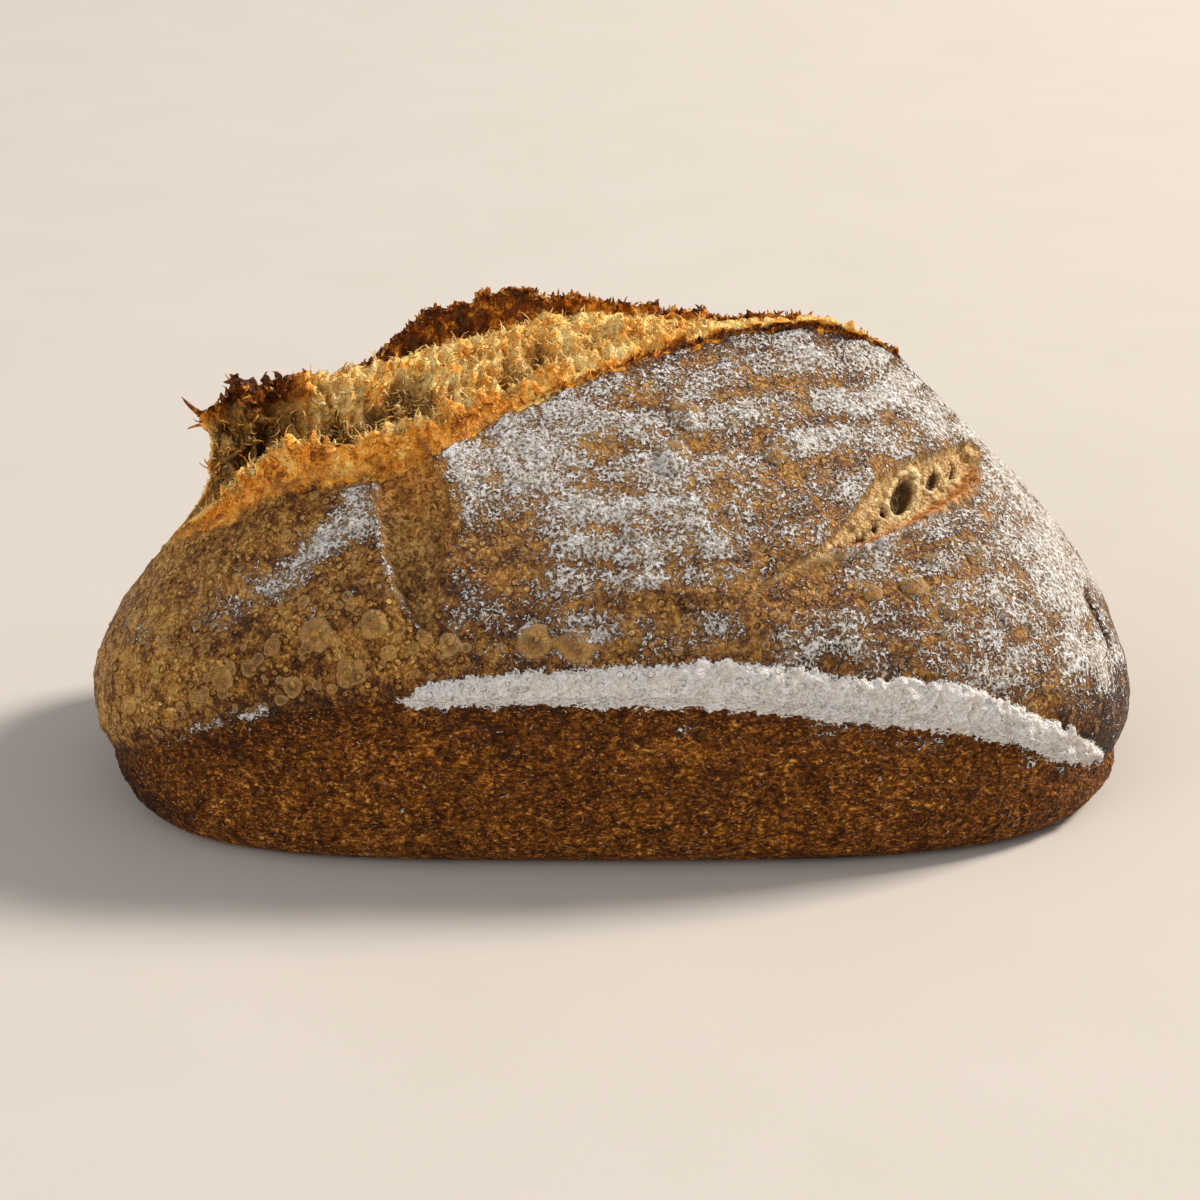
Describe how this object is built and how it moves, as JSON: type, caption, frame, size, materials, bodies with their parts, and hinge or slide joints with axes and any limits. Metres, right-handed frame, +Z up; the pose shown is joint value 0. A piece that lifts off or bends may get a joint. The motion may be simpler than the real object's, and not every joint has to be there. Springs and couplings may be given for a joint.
{
  "type": "sourdough loaf",
  "caption": "Long hearth-baked sourdough loaf, split along its top by a deep score with a raised burnt ear, floured crust and a flat base to rest on.",
  "frame": {"origin": "middle of the loaf's outline on its flat base", "axes": "+X along the loaf, from the ear's low end of the score to its high end; +Z up; -Y is the floured side that opens away from the score"},
  "size_m": [0.2456, 0.1326, 0.1059],
  "materials": {
    "crust": "dry baked crust, matte, dusted with flour"
  },
  "bodies": {
    "root": {"loaf": "crust"}
  },
  "joints": []
}
